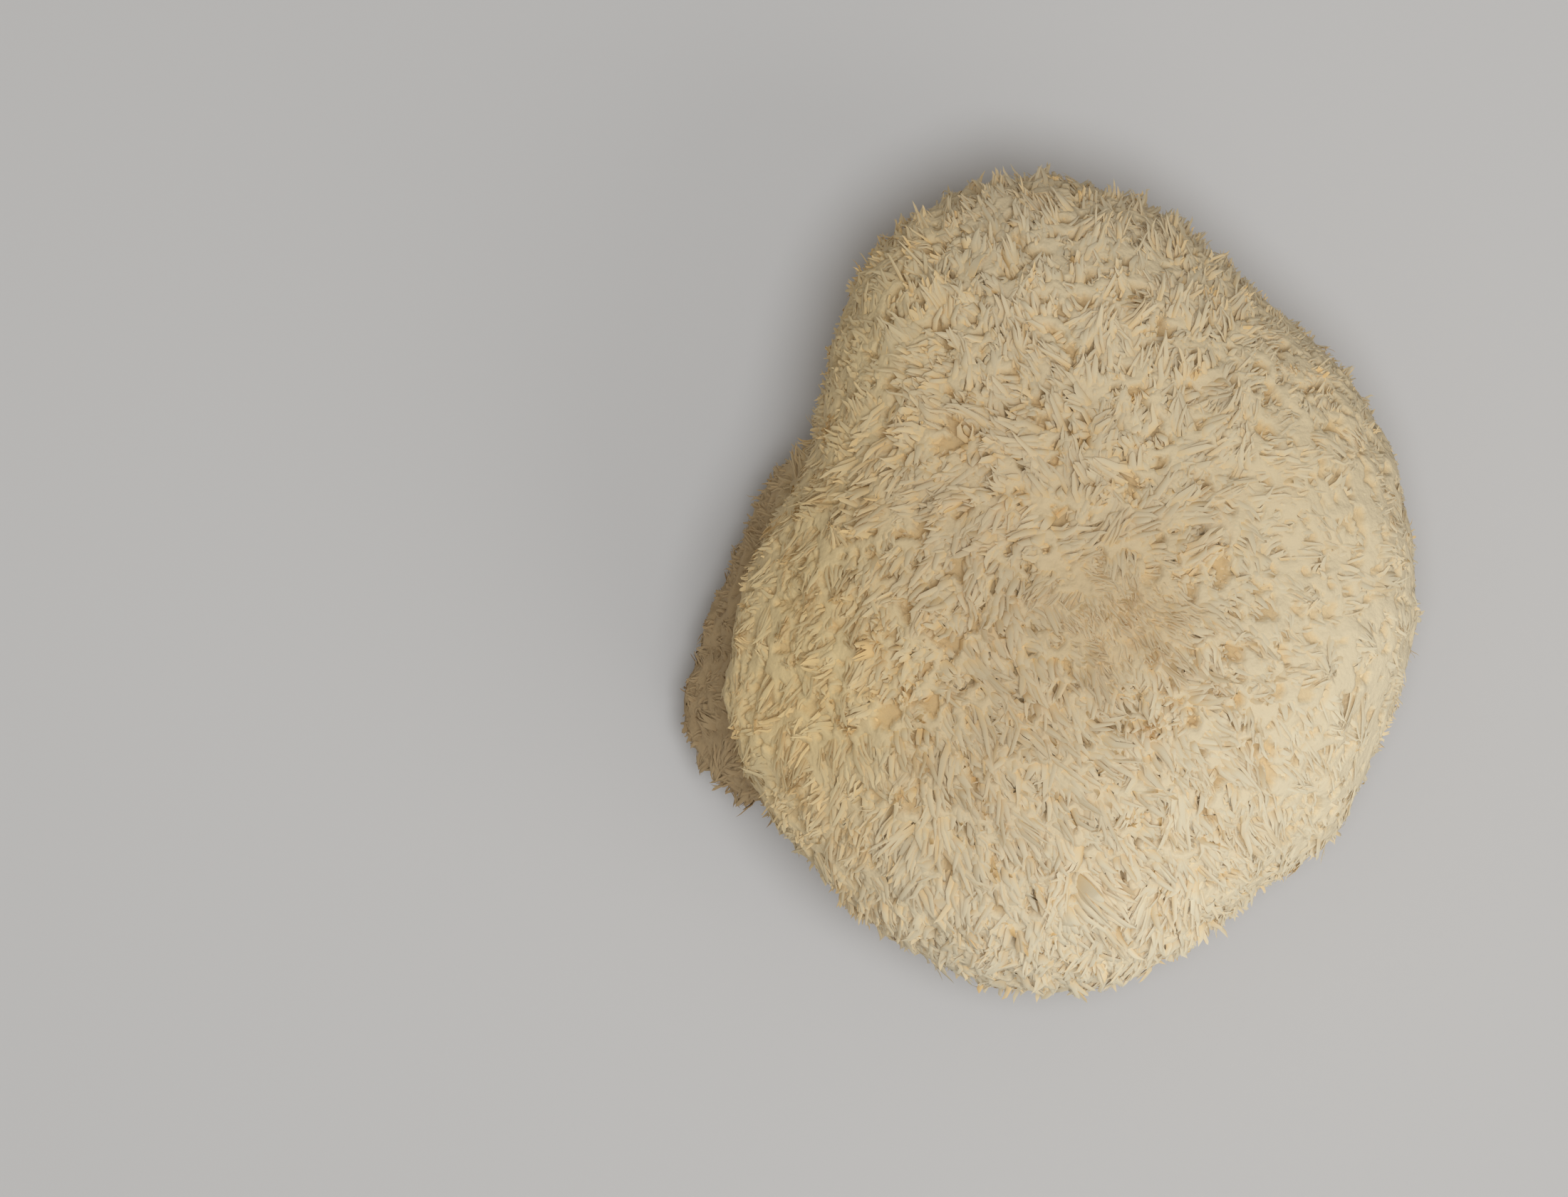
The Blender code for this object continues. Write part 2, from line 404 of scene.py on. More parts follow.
class Wiring:
    """Adds nodes to a tree. A value that is a socket is linked, and any other is set."""

    def __init__(self, tree):
        self.tree = tree

    def add(self, kind, *values, **settings):
        node = self.tree.nodes.new(kind)
        for name, value in settings.items():
            setattr(node, name, value)
        open_sockets = [socket for socket in node.inputs if socket.enabled]
        for socket, value in zip(open_sockets, values):
            self.feed(socket, value)
        return node

    def get(self, kind, *values, **settings):
        """The first output of a new node."""
        node = self.add(kind, *values, **settings)
        return next(socket for socket in node.outputs if socket.enabled)

    def feed(self, socket, value):
        if isinstance(value, bpy.types.NodeSocket):
            self.tree.links.new(value, socket)
        elif value is not None:
            socket.default_value = value

    def math(self, operation, *values):
        return self.get("ShaderNodeMath", *values, operation=operation)

    def plus(self, first, second):
        return self.math("ADD", first, second)

    def less(self, first, second):
        return self.math("SUBTRACT", first, second)

    def times(self, first, second):
        return self.math("MULTIPLY", first, second)

    def vector(self, operation, *values):
        return self.get("ShaderNodeVectorMath", *values, operation=operation)

    def added(self, first, second):
        """The sum of two vectors."""
        return self.vector("ADD", first, second)

    def scaled(self, vector, factor):
        node = self.add("ShaderNodeVectorMath", operation="SCALE")
        self.feed(node.inputs[0], vector)
        self.feed(node.inputs["Scale"], factor)
        return node.outputs[0]

    def part(self, vector, axis):
        return self.add("ShaderNodeSeparateXYZ", vector).outputs[axis]

    def between(self, low, high, seed):
        """A random number for each element."""
        return self.get("FunctionNodeRandomValue", low, high, None, seed, data_type="FLOAT")

    def stored(self, name, kind="FLOAT"):
        return self.get("GeometryNodeInputNamedAttribute", name, data_type=kind)

    def store(self, geometry, name, value, kind="FLOAT"):
        values = (geometry, None, name, value)
        return self.get("GeometryNodeStoreNamedAttribute", *values, data_type=kind, domain="POINT")

    def held_back(self, name, share):
        """1, less a share of a stored value."""
        return self.less(1.0, self.times(self.stored(name), share))

    def swirl(self, position, layers, detail):
        """A noise vector: each of its two layers gives how fine and how strong it is."""
        parts = []
        for scale, strength in layers:
            colour = self.add("ShaderNodeTexNoise", position, scale, detail).outputs["Color"]
            centred = self.vector("SUBTRACT", colour, (0.5, 0.5, 0.5))
            even = self.vector("MULTIPLY", centred, (3.0, 3.0, 3.0))
            parts.append(self.scaled(even, strength))
        return self.added(*parts)


def start_tree(name, inputs):
    """A Geometry Nodes tree with named inputs, its wiring and the input node's sockets."""
    tree = bpy.data.node_groups.new(name, "GeometryNodeTree")
    tree.interface.new_socket("Geometry", in_out="INPUT", socket_type="NodeSocketGeometry")
    for label, kind in inputs:
        tree.interface.new_socket(label, in_out="INPUT", socket_type=kind)
    tree.interface.new_socket("Geometry", in_out="OUTPUT", socket_type="NodeSocketGeometry")
    return tree, Wiring(tree), tree.nodes.new("NodeGroupInput").outputs


def end_tree(wiring, geometry):
    result = wiring.tree.nodes.new("NodeGroupOutput")
    wiring.feed(result.inputs[0], geometry)


def grown_mesh(name, carrier, tree, values):
    """The plain mesh that a tree makes of a carrier object."""
    modifier = carrier.modifiers.new(name, "NODES")
    modifier.node_group = tree
    for item in tree.interface.items_tree:
        if item.in_out == "INPUT" and item.name in values:
            modifier[item.identifier] = values[item.name]
    graph = bpy.context.evaluated_depsgraph_get()
    mesh = bpy.data.meshes.new_from_object(carrier.evaluated_get(graph), depsgraph=graph)
    mesh.name = name
    carrier.modifiers.remove(modifier)
    return mesh


def shape_object(name, points, faces, narrow):
    """A shape of width 1, with its normals and sharp edges as they are at its real width."""
    mesh = bpy.data.meshes.new(name)
    mesh.from_pydata([(x, y * narrow, z) for x, y, z in points], [], faces)
    mesh.update()
    bm = bmesh.new()
    bm.from_mesh(mesh)
    bmesh.ops.recalc_face_normals(bm, faces=bm.faces[:])
    for edge in bm.edges:
        edge.smooth = edge.calc_face_angle() < SHARP
    for vert in bm.verts:
        vert.co.y /= narrow
    bm.to_mesh(mesh)
    bm.free()
    keep_numbers(mesh, "along", np.clip(coordinates(mesh)[:, 2], 0, 1))
    return bpy.data.objects.new(name, mesh)


def arch(height, bow, hook):
    """How far a shape stands out: it bows out in the middle, and its tip hooks down."""
    return bow * 4 * height * (1 - height) - hook * height**3


def tooth_shape(name, thickness, bow, hook, sway):
    """A strap-like tooth, three-sided, that winds a little and tapers to a point."""

    def middle(height):
        return arch(height, bow, hook), sway * height * (1.5 - 2.0 * height)

    points = []
    for height, share in TOOTH_RINGS:
        out, aside = middle(height)
        half = 0.5 * share
        ridge = out + thickness * share * 0.6
        back = out - thickness * share * 0.4
        points += [(ridge, aside, height), (back, aside - half, height)]
        points.append((back, aside + half, height))
    faces = [(0, 1, 2)]
    for low in range(0, len(points) - 3, 3):
        for k in range(3):
            after = (k + 1) % 3
            faces.append((low + k, low + after, low + 3 + after, low + 3 + k))
    end = len(points)
    points.append((*middle(1.0), 1.0))
    faces += [(end - 3, end - 2, end), (end - 2, end - 1, end), (end - 1, end - 3, end)]
    return shape_object(name, points, faces, TOOTH_NARROW)


def hand_shape(name, thickness, bow, hook, fan, palm, cup, tips):
    """A flat palm that splits into strap-like fingers: tips are their heights."""
    count = len(tips)
    columns = [k / count - 0.5 for k in range(count + 1)]

    def place(aside, height, half):
        out = arch(height, bow, hook) - cup * 4 * aside * aside + half
        return out, aside, height

    points = []
    for height, share in ((0.0, HAND_ROOT), (palm, 1.0)):
        for k, column in enumerate(columns):
            half = thickness * (0.25 if k in (0, count) else 0.5)
            ragged = 0.07 * math.sin(5.1 * k + 11 * palm) if height else 0.0
            points.append(place(column * share, height + ragged, half))
            points.append(place(column * share, height + ragged, -half))
    width = 2 * (count + 1)
    faces = [tuple(range(0, width, 2)) + tuple(range(width - 1, 0, -2))]
    for k in range(count):
        a = 2 * k
        faces.append((a, a + 2, a + 2 + width, a + width))
        faces.append((a + 1, a + 1 + width, a + 3 + width, a + 3))
    for edge in (0, 2 * count):
        faces.append((edge, edge + width, edge + 1 + width, edge + 1))
    for k, tip in enumerate(tips):
        corners = [width + 2 * k, width + 2 * k + 1, width + 2 * k + 3, width + 2 * k + 2]
        centre = 0.5 * (columns[k] + columns[k + 1])
        sway = 0.10 * math.sin(2.6 * k + 17 * palm)
        rise = 0.05 * math.sin(1.9 * k + 23 * palm)
        for t, share in FINGER_RINGS:
            height = palm + t * (tip - palm)
            middle = centre * (1 + fan * t) + sway * t * t
            half = 0.5 * share / count
            first = len(points)
            for aside, out in ((-half, 0.4), (-half, -0.4), (half, -0.4), (half, 0.4)):
                x, y, z = place(middle + aside, height, thickness * out * (1.2 - 0.5 * t))
                points.append((x + rise * t * t, y, z))
            ring = [first, first + 1, first + 2, first + 3]
            for a in range(4):
                b = (a + 1) % 4
                faces.append((corners[a], corners[b], ring[b], ring[a]))
            corners = ring
        x, y, z = place(centre * (1 + fan) + sway, tip, 0.0)
        points.append((x + rise, y, z))
        for a in range(4):
            faces.append((corners[a], corners[(a + 1) % 4], len(points) - 1))
    return shape_object(name, points, faces, HAND_NARROW)


def shape_collection(name, make_shape, rows):
    """One shape for each row of measures."""
    collection = bpy.data.collections.new(name)
    for number, row in enumerate(rows):
        collection.objects.link(make_shape(f"{name}_{number}", *row))
    return collection


def remove_collection(collection):
    for shape in list(collection.objects):
        bpy.data.objects.remove(shape)
    bpy.data.collections.remove(collection)


def along_surface(vectors, normals):
    return vectors - normals * np.sum(vectors * normals, axis=1)[:, None]


def mane_lie(points, normals, hanging):
    """The way the teeth lie on the skin."""

    def on_surface(way):
        return along_surface(np.tile(way, (len(points), 1)), normals)

    away = along_surface(points - WHORL, normals)
    away /= np.maximum(np.linalg.norm(away, axis=1), WHORL_STILL)[:, None]
    from_parting = along_surface(points - PARTING, normals)
    distance = np.linalg.norm(points - PARTING, axis=1)
    parted = np.exp(-((distance / PARTING_REACH) ** 2))
    from_parting /= np.maximum(distance, PARTING_STILL)[:, None]
    north = soft_step(5 * MM, 30 * MM, points[:, 1])
    west = 1 - soft_step(-28 * MM, -8 * MM, points[:, 0])
    outwards = 0.75 - 0.55 * west * (1 - north)
    downwards = 0.6 - 0.45 * north + 0.5 * west * (1 - north)
    lie = outwards[:, None] * away + downwards[:, None] * on_surface(DROOP)
    lie = lie + 1.1 * parted[:, None] * from_parting
    swept = spot(points[:, 0] / MM, points[:, 1] / MM, *SWEPT_SPOT)
    lie += SWEEP_STRENGTH * swept[:, None] * on_surface(SWEEP)
    return lie + (on_surface(PLUMB) - lie) * hanging[:, None]


def parts_of_head(points):
    """How far each point belongs to each part of the head, from 0 to 1.

    A part's limits are in mm from the origin, or in degrees round the middle of the girth.
    """
    azimuth, elevation = angles_of(points - np.array((0, 0, GIRTH_HEIGHT)))
    flat = np.hypot(points[:, 0], points[:, 1])
    x, y, z = points.T / MM
    from_whorl = np.hypot((x - 4.5) / 1.15, y + 2.2)
    north = soft_step(12, 32, y)
    left = nearness(azimuth, 0 * elevation, 192, 0, 46, 1)
    spots = sum(share * spot(x, y, *place) for share, place in TAN_SPOTS)
    shadow_share, shadow_place = PAINTED_SHADOW_SPOT
    return SimpleNamespace(
        whorl=(1 - soft_step(3, 11, from_whorl)) * (z > 40),
        right=soft_step(14, 30, x),
        north=north,
        south=soft_step(-8, -25, y),
        west=1 - soft_step(-36, -14, x),
        rim=1 - soft_step(4, 26, elevation),
        left=left,
        skirt=left * (1 - soft_step(-12, -4, elevation)) * soft_step(-46, -34, elevation),
        crease=nearness(azimuth, elevation, 192, -6, 40, 7),
        hanging=soft_step(10 + 20 * north, -12, elevation),
        underside=(z < GIRTH_HEIGHT / MM) * (elevation < -8),
        bare=1 - soft_step(24, 38, flat / MM),
        spotted=spots * (z > LOWEST_TAN),
        # painted shadow across the crown
        painted_shadow=shadow_share * spot(x, y, *shadow_place),
        opened=spot(x, y, *OPENED_SPOT),
        yellow=(1 - soft_step(-34, -8, x)) * (1 - 0.6 * soft_step(-14, -34, y)),
        # paler towards the front right: painted light on the side the light falls on
        painted_light=soft_step(10, 60, x * 0.6 - y * 0.8 + 12),
    )


def tooth_lengths(head):
    """How long the teeth are, in mm."""
    length = TOOTH_LENGTH + 0.5 * head.south - 1.4 * head.right
    length = length - 0.8 * head.north - 1.6 * head.west
    length -= 1.5 * head.rim * (1 - 0.2 * head.south)
    length = length * (1 - head.whorl) + WHORL_LENGTH * head.whorl
    length -= 0.8 * head.crease + 0.8 * head.skirt
    length += (3.4 - 2.2 * head.left) * head.hanging
    under = length * (1 - head.bare) + BELLY_LENGTH * head.bare
    length = np.where(head.underside, under, length)
    return np.maximum(length, SHORTEST_TOOTH)


def tooth_lifts(head, normals):
    """How far the teeth lift off the skin, in degrees, so that hanging ones clear the belly."""
    lift = TOOTH_LIFT + 4 * head.north - 6 * head.whorl - 6 * head.rim
    lift = lift + 22 * head.west * (1 - head.north)
    plumb = np.degrees(np.arcsin(np.clip(-normals[:, 2], 0, 1)))
    lift = np.maximum(lift, plumb * head.hanging)
    return np.clip(lift, LEAST_LIFT, MOST_LIFT)


def tooth_breadths(head):
    """How broad the teeth are, against their full width."""
    breadth = 1 - 0.38 * head.west * (1 - head.north) - 0.3 * head.right
    breadth = breadth - 0.25 * head.rim * (1 - head.south) - 0.2 * head.north - 0.5 * head.whorl
    return np.clip(breadth, 0.4, 1)


def mane_measures(head, normals):
    """The teeth's sizes and tones, as they are kept on the skin's points."""
    fused = np.clip(head.right * (1 - head.north) + head.west, 0, 1)
    tan_and_shade = 0.8 * head.whorl + head.spotted + head.painted_shadow
    # Painted shade on the rim, except at the front and on the right, where the light falls.
    tan_and_shade = tan_and_shade + 0.35 * head.rim * (1 - head.south) * (1 - head.right)
    return {
        "tooth_length": tooth_lengths(head) * MM,
        "lift": np.radians(tooth_lifts(head, normals)),
        "breadth": tooth_breadths(head),
        "matted": head.whorl,
        "hanging": head.hanging,
        "fused": fused * (1 - head.hanging),
        "toothed": np.where(head.underside, 1 - head.bare, 1.0),
        "yellow": head.yellow,
        "painted_light": head.painted_light,
        "tan_and_shade": np.clip(tan_and_shade, 0, 1),
        # painted shade on the skirt and in the crease above it
        "skirt_shade": np.clip(1.2 * head.skirt + 0.7 * head.crease, 0, 1),
    }


def patch_of(points):
    """Which piece of the mane each point belongs to."""
    x, y, z = (points - np.array((0, 0, GIRTH_HEIGHT))).T / MM
    azimuth = np.degrees(np.arctan2(y, x)) % 360
    sector = np.digitize(azimuth, PATCH_EDGES) + FIRST_SIDE_PATCH
    sector[sector == len(PATCHES)] = FIRST_SIDE_PATCH
    crown = (np.hypot(x - CROWN_MIDDLE, y) < CROWN_RADIUS) * (z > 0)
    return np.where(crown, np.where(y > 0, 1, 0), sector)


def pits_at(points, level):
    """1 in the pits between the hummocks, where the noise is above a level, and 0 between them."""
    depth = noise_at(points + 7 * MM, PIT_SIZE) + 0.35 * noise_at(points, PIT_SIZE / 2.5)
    return soft_step(level, level + PIT_FADE, depth)


def folds_at(points):
    """Folds that run down the foot and out over the bare belly."""
    flat = np.maximum(np.hypot(points[:, 0], points[:, 1]), 0.1 * MM)
    around = points[:, :2] / flat[:, None] * FOOT_RADIUS
    spoke = np.column_stack((around, 0.25 * points[:, 2] + 0.12 * flat))
    folds = sum(share * noise_at(spoke + shift, size) for share, shift, size in FOLDS)
    return folds * soft_step(*FOLDS_START, points[:, 2])


def skin_mesh():
    """The flesh that the teeth are set on, with how they lie and their tones kept on its points."""
    mesh = skin_ball()
    stretch = np.array((OUTLINE[0] * MM, max(OUTLINE) * MM, CROWN_RISE))
    directions = coordinates(mesh) * stretch
    directions /= np.linalg.norm(directions, axis=1)[:, None]
    points = skin_form(directions)
    place_points(mesh, points)
    normals = vertex_normals(mesh)
    head = parts_of_head(points)
    measures = mane_measures(head, normals)
    toothed, fused, hanging = (measures[name] for name in ("toothed", "fused", "hanging"))

    # Hummocks, and the teeth's lie on them.
    hummocks = HUMMOCK_HEIGHT * toothed * noise_at(points, HUMMOCK_SIZE)
    points = points + normals * hummocks[:, None]
    lie = mane_lie(points, normals, hanging)
    lie_length = np.maximum(np.linalg.norm(lie, axis=1), 1e-6)
    ahead = lie / lie_length[:, None] * measures["tooth_length"][:, None]

    # Pits, and the teeth that reach over them.
    calm = (1 - 0.8 * measures["matted"]) * (1 - 0.7 * hanging)
    level = PIT_LEVEL + 0.09 * fused - 0.08 * head.opened
    pits = pits_at(points, level) * toothed * calm
    halfway = pits_at(points + 0.45 * ahead, level)
    tips_over_pits = np.maximum(halfway, pits_at(points + 0.9 * ahead, level)) * calm

    # Grain and folds.
    fine = sum(height * noise_at(points, size) for height, size in GRAIN_OF_SKIN)
    fine *= 1 - 0.5 * fused
    folds = (1 - toothed) * folds_at(points)
    fine += FOLD_HEIGHT * folds - BELLY_SHRINK * (1 - toothed)
    sinking = PIT_DEPTH * pits * (1 - 0.6 * fused)
    points = points + normals * (fine * MM - sinking)[:, None]
    cut = 1 - soft_step(0.0, CUT_RIM, points[:, 2])
    place_points(mesh, points)

    crowded = 1 - 0.6 * fused + 0.35 * (head.west * (1 - head.hanging))
    measures["density"] = toothed * (1 - 0.9 * pits**2) * ((1 - 0.3 * hanging) * crowded)
    measures["full_length"] = 1 - 0.45 * tips_over_pits
    # How much painted shade the pits get, less where the teeth are fused.
    measures["pits"] = pits * (1 - 0.45 * fused)
    measures["cut"] = cut
    measures["folds"] = folds
    for name, values in measures.items():
        keep_numbers(mesh, name, values)
    keep_vectors(mesh, "lie", lie)
    keep_vectors(mesh, "outward", normals)
    keep_counts(mesh, "patch", patch_of(points))
    mesh.polygons.foreach_set("use_smooth", np.ones(len(mesh.polygons), dtype=bool))
    return mesh


def scattered(w, given, spacing, seed_shift):
    """Points on the skin that keep a spacing, fewer where its density is low."""
    seed = w.plus(given["Seed"], float(seed_shift))
    most = w.math("DIVIDE", 4.0, w.times(spacing, spacing))
    values = (given["Geometry"], None, spacing, most, w.stored("density"), seed)
    node = w.add("GeometryNodeDistributePointsOnFaces", *values, distribute_method="POISSON")
    return node.outputs["Points"]


def grown_clumps(w, given):
    """Points that each keep the way their clump lies, and how far its teeth keep apart."""
    position = w.get("GeometryNodeInputPosition")
    normal = w.stored("outward", "FLOAT_VECTOR")
    points = scattered(w, given, given["Clump Spacing"], 0)
    loose = w.held_back("hanging", 0.7)
    stray = w.scaled(w.swirl(position, STRAY, 1.0), loose)
    lie = w.added(w.stored("lie", "FLOAT_VECTOR"), stray)
    turned = w.times(w.between(*CLUMP_TURNS, 2), loose)
    twist = w.get("ShaderNodeVectorRotate", lie, (0, 0, 0), normal, turned)
    inward = w.scaled(normal, w.vector("DOT_PRODUCT", twist, normal))
    flat_lie = w.vector("NORMALIZE", w.vector("SUBTRACT", twist, inward))
    lift = w.plus(w.stored("lift"), w.between(*CLUMP_LIFTS, 3))
    along_skin = w.scaled(flat_lie, w.math("COSINE", lift))
    way = w.added(along_skin, w.scaled(normal, w.math("SINE", lift)))
    reach = w.times(w.stored("tooth_length"), w.between(*CLUMP_REACHES, 4))
    points = w.store(points, "way", w.scaled(way, reach), "FLOAT_VECTOR")
    drawn = w.times(w.less(1.0, w.stored("matted")), w.between(*CLUMP_DRAWS, 5))
    points = w.store(points, "drawn", drawn)
    return w.store(points, "clump_tint", w.between(0.0, 1.0, 6))


def grown(w, given, clumps, label, shapes, narrow, shift, lengths, jitter, rise=0.0, where=None):
    """Instances of the shapes on points of the skin, drawn towards their clumps."""
    spacing, width = given[label + " Spacing"], given[label + " Width"]
    position = w.get("GeometryNodeInputPosition")
    normal = w.stored("outward", "FLOAT_VECTOR")
    near = w.get("GeometryNodeSampleNearest", clumps, position)

    def of_clump(value, kind="FLOAT"):
        return w.get("GeometryNodeSampleIndex", clumps, value, near, data_type=kind)

    # From the root to the tip.
    natural = w.stored("tooth_length")
    ruffled = w.times(natural, w.held_back("fused", 0.5))
    apart = w.vector("SUBTRACT", position, of_clump(position, "FLOAT_VECTOR"))
    way = of_clump(w.stored("way", "FLOAT_VECTOR"), "FLOAT_VECTOR")
    chord = w.added(way, w.scaled(apart, of_clump(w.stored("drawn"))))
    limits = ((-1, -1, -1), (1, 1, 1), None, 7 + shift)
    own = w.get("FunctionNodeRandomValue", *limits, data_type="FLOAT_VECTOR")
    chord = w.added(chord, w.scaled(own, w.times(ruffled, jitter)))
    chord = w.added(chord, w.scaled(normal, w.times(ruffled, rise)))
    outward = w.vector("DOT_PRODUCT", chord, normal)
    missing = w.math("MAXIMUM", w.less(w.times(natural, LEAST_OUT), outward), 0.0)
    chord = w.added(chord, w.scaled(normal, missing))

    # The length, which ends above the floor.
    length = w.times(w.vector("LENGTH", chord), w.between(*lengths, 8 + shift))
    length = w.times(length, w.stored("full_length"))
    drop = w.times(w.part(w.vector("NORMALIZE", chord), "Z"), -1.0)
    above_floor = w.math("MAXIMUM", w.less(w.part(position, "Z"), LOWEST_TIP), STUB)
    most = w.math("DIVIDE", above_floor, w.math("MAXIMUM", drop, 0.05))
    length = w.math("MINIMUM", length, most)

    # The turn and the size.
    axes = {"primary_axis": "Z", "secondary_axis": "X"}
    turn = w.get("FunctionNodeAxesToRotation", chord, normal, **axes)
    angle = w.between(*TOOTH_ROLLS, 9 + shift)
    roll = w.get("FunctionNodeAxisAngleToRotation", (0, 0, 1), angle)
    turn = w.get("FunctionNodeRotateRotation", turn, roll, rotation_space="LOCAL")
    across = w.times(width, w.between(*TOOTH_WIDTHS, 10 + shift))
    across = w.times(across, w.stored("breadth"))
    thick = w.times(w.math("DIVIDE", across, narrow), w.held_back("fused", 0.55))
    size = w.get("ShaderNodeCombineXYZ", thick, across, length)

    # The roots of this piece alone, sunk into the skin.
    sunk = w.scaled(normal, w.times(w.times(natural, given["Sink"]), -1.0))
    points = scattered(w, given, spacing, shift)
    points = w.get("GeometryNodeSetPosition", points, None, None, sunk)
    tint = w.times(of_clump(w.stored("clump_tint")), CLUMP_TINT)
    points = w.store(points, "root", position, "FLOAT_VECTOR")
    points = w.store(points, "tint", w.plus(tint, w.between(0.0, 1 - CLUMP_TINT, 11 + shift)))
    patches = (w.stored("patch", "INT"), given["Patch"])
    dropped = w.get("FunctionNodeCompare", *patches, data_type="INT", operation="NOT_EQUAL")
    if where is not None:
        values = (w.stored(where), LEAST_SHARE)
        bare = w.get("FunctionNodeCompare", *values, data_type="FLOAT", operation="LESS_THAN")
        dropped = w.get("FunctionNodeBooleanMath", dropped, bare, operation="OR")
    points = w.get("GeometryNodeDeleteGeometry", points, dropped, domain="POINT")
    source = w.get("GeometryNodeCollectionInfo", shapes, True, True)
    choice = (0, len(shapes.objects) - 1, None, 12 + shift)
    pick = w.get("FunctionNodeRandomValue", *choice, data_type="INT")
    return w.get("GeometryNodeInstanceOnPoints", points, None, source, True, pick, turn, size)


def bent(w, given, mane):
    """The mane with its teeth bent by noise, and most at their tips."""
    along = w.stored("along")
    upwards = w.get("ShaderNodeCombineXYZ", 0.0, 0.0, w.times(along, BENDING_RISE))
    place = w.added(w.stored("root", "FLOAT_VECTOR"), upwards)
    bend = w.swirl(place, BENDING, 0.0)
    amount = w.times(w.times(along, along), given["Curl"])
    amount = w.times(amount, w.stored("tooth_length"))
    return w.get("GeometryNodeSetPosition", mane, None, None, w.scaled(bend, amount))


def mane_tree(material, teeth, hands):
    sizes = [(label, "NodeSocketFloat") for label in MANE_SIZES]
    counts = [("Patch", "NodeSocketInt"), ("Seed", "NodeSocketInt")]
    tree, w, given = start_tree("mane", sizes + counts)
    clumps = grown_clumps(w, given)

    # Label, shapes, narrowness, seed, shares of the length, jitter, rise, and the part it is for.
    kinds = (
        ("Hand", hands, HAND_NARROW, 60, (0.7, 1.1), 0.15),
        ("Tooth", teeth, TOOTH_NARROW, 40, (0.5, 1.2), 0.2),
        ("Strand", teeth, TOOTH_NARROW, 80, (0.9, 1.3), 0.3, 0.06),
        ("Hair", teeth, TOOTH_NARROW, 100, (0.6, 1.2), 0.3, 0.05, "matted"),
    )
    join = w.add("GeometryNodeJoinGeometry")
    for kind in kinds:
        w.feed(join.inputs[0], grown(w, given, clumps, *kind))
    mane = w.get("GeometryNodeRealizeInstances", join.outputs[0])
    mane = bent(w, given, mane)
    mane = w.get("GeometryNodeSetShadeSmooth", mane, None, True)
    mane = w.get("GeometryNodeSetMaterial", mane, None, material)
    end_tree(w, mane)
    return tree


def dress(piece):
    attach(piece, BODY)
    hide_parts(NODE)


def build_mushroom(flesh, ivory):
    """The skin, and the teeth on it, in pieces."""
    skin = add_piece("skin", skin_mesh())
    teeth = shape_collection("teeth", tooth_shape, TEETH)
    hands = shape_collection("hands", hand_shape, HANDS)
    tree = mane_tree(ivory, teeth, hands)
    for number, patch in enumerate(PATCHES):
        values = {**MANE_SIZES, "Patch": number, "Seed": SEED}
        mesh = grown_mesh("mane_" + patch, skin, tree, values)
        dress(add_piece("mane_" + patch, mesh))
    skin.data.materials.append(flesh)
    dress(skin)
    remove_collection(teeth)
    remove_collection(hands)


def new_material(name):
    material = bpy.data.materials.new(name)
    material.use_nodes = True
    shader = material.node_tree.nodes["Principled BSDF"]
    return material, Wiring(material.node_tree), shader


def mixed(w, factor, first, second, blend="MIX"):
    node = w.add("ShaderNodeMix", data_type="RGBA", blend_type=blend)
    w.feed(node.inputs[0], factor)
    w.feed(node.inputs[6], first)
    w.feed(node.inputs[7], second)
    return node.outputs[2]


def ranged(w, value, *limits):
    """A value carried from one range to another."""
    return w.get("ShaderNodeMapRange", value, *limits)


def kept(w, name, output="Fac"):
    """A value that is kept on the mesh."""
    return w.add("ShaderNodeAttribute", attribute_name=name).outputs[output]


def start_group(name, inputs, outputs):
    """A shader node group with named sockets, its wiring, and its two ends."""
    tree = bpy.data.node_groups.new(name, "ShaderNodeTree")
    for label, kind in inputs:
        tree.interface.new_socket(label, in_out="INPUT", socket_type=kind)
    for label, kind in outputs:
        tree.interface.new_socket(label, in_out="OUTPUT", socket_type=kind)
    given = tree.nodes.new("NodeGroupInput").outputs
    result = tree.nodes.new("NodeGroupOutput").inputs
    return tree, Wiring(tree), given, result


def placed_group(w, tree, value):
    node = w.add("ShaderNodeGroup")
    node.node_tree = tree
    w.feed(node.inputs[0], value)
    return node.outputs


def tone_group():
    """The colour of the flesh with teeth: how far out it is, from 0 in a pit to 1 at a tip, with
    painted shade at the lower heights.
    """
    inputs = [("Height", "NodeSocketFloat")]
    outputs = [("Color", "NodeSocketColor")]
    tree, w, given, result = start_group("mushroom_tone", inputs, outputs)
    tip = mixed(w, kept(w, "yellow"), IVORY, YELLOW)
    for name, colour in (("painted_light", PAINTED_LIGHT_PALE), ("tan_and_shade", TAN_AND_SHADE), ("skirt_shade", SKIRT_SHADE_BROWN)):
        tip = mixed(w, kept(w, name), tip, colour)
    shaded = mixed(w, 0.75, tip, PAINTED_SHADE_OCHRE)
    # Deeper painted shade on the skirt and in the crease.
    shaded = mixed(w, kept(w, "skirt_shade"), shaded, SKIRT_GAP_SHADE)
    # Where the teeth are fused, the painted shade is lighter.
    even = w.times(kept(w, "fused"), 0.6)
    height = w.math("MAXIMUM", given["Height"], even)
    w.feed(result["Color"], mixed(w, height, shaded, tip))
    return tree


